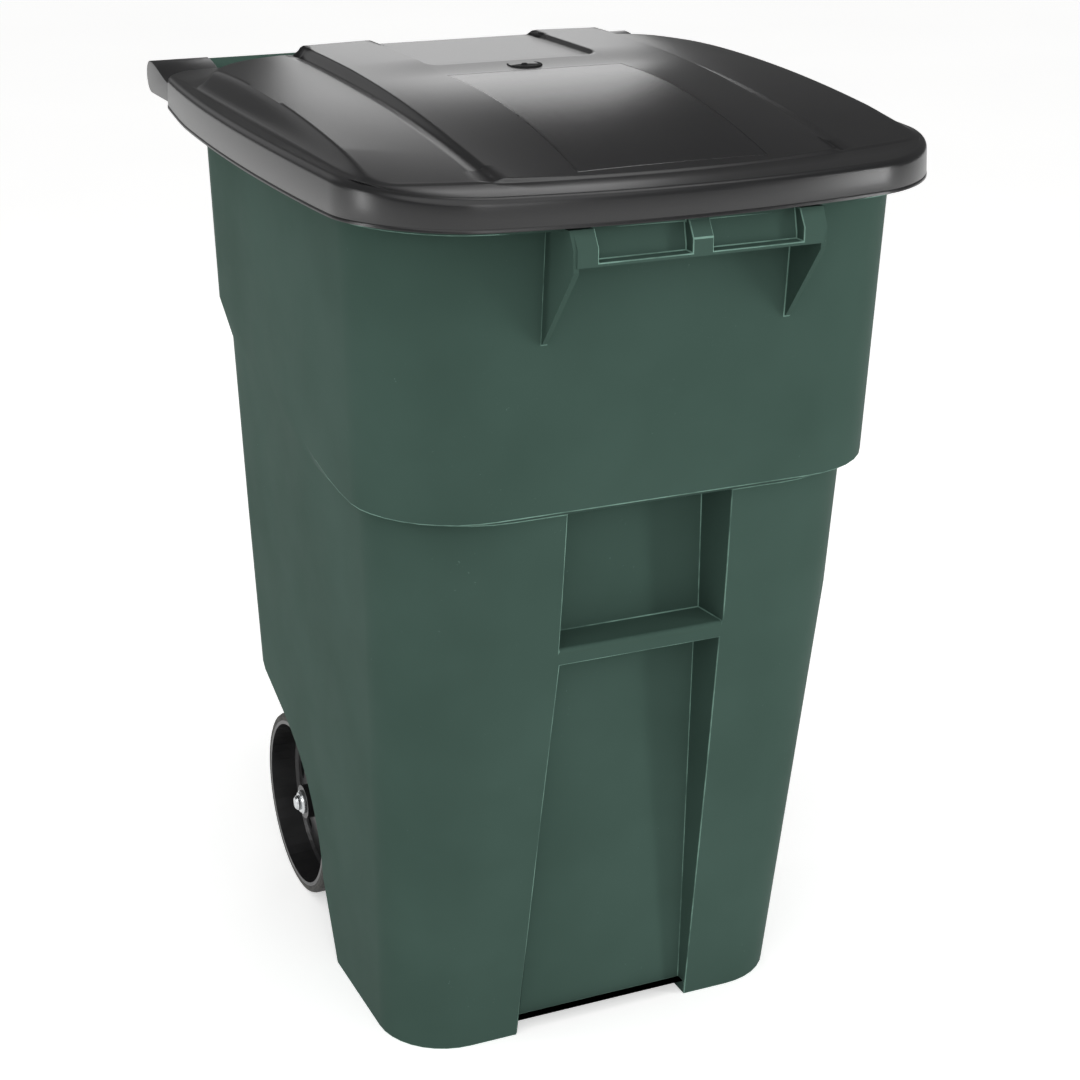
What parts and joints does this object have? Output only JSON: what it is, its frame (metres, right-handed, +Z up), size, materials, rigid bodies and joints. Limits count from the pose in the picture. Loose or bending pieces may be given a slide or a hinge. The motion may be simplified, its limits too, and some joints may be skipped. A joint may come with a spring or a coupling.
{
  "type": "wheeled trash can",
  "caption": "Tall wheeled trash can: tapered stepped tub, crowned hinged lid, front lift bar and recess, rear handle, axle and wheels.",
  "frame": {"origin": "on the floor, in the middle of the can's bounding box in plan", "axes": "+X to the can's right as seen from the front, front towards -Y, +Z up"},
  "size_m": [0.5668, 0.724, 0.921],
  "materials": {
    "tub_green": "dark green moulded plastic, fine matte grain",
    "lid_black": "charcoal moulded plastic, satin",
    "wheel_black": "black moulded plastic",
    "tyre_rubber": "dark grey rubber",
    "steel": "bright zinc-plated steel"
  },
  "bodies": {
    "tub": {"tub": "tub_green", "axle": "steel", "spacer_left": "wheel_black", "spacer_right": "wheel_black", "push_nut_left": "steel", "push_nut_right": "steel", "hinge_pin_left": "wheel_black", "hinge_pin_right": "wheel_black"},
    "lid": {"lid": "lid_black"},
    "wheel_left": {"wheel_left": "wheel_black", "tyre_left": "tyre_rubber"},
    "wheel_right": {"wheel_right": "wheel_black", "tyre_right": "tyre_rubber"}
  },
  "joints": [
    {"name": "lid_hinge", "type": "hinge", "parent": "tub", "child": "lid", "pos_m": [0, 0.346, 0.873], "axis": [-1, 0, 0], "range_deg": [0, 265]},
    {"name": "wheel_left_spin", "type": "hinge", "parent": "tub", "child": "wheel_left", "pos_m": [-0.174, 0.1887, 0.1], "axis": [1, 0, 0], "continuous": true},
    {"name": "wheel_right_spin", "type": "hinge", "parent": "tub", "child": "wheel_right", "pos_m": [0.174, 0.1887, 0.1], "axis": [1, 0, 0], "continuous": true}
  ]
}
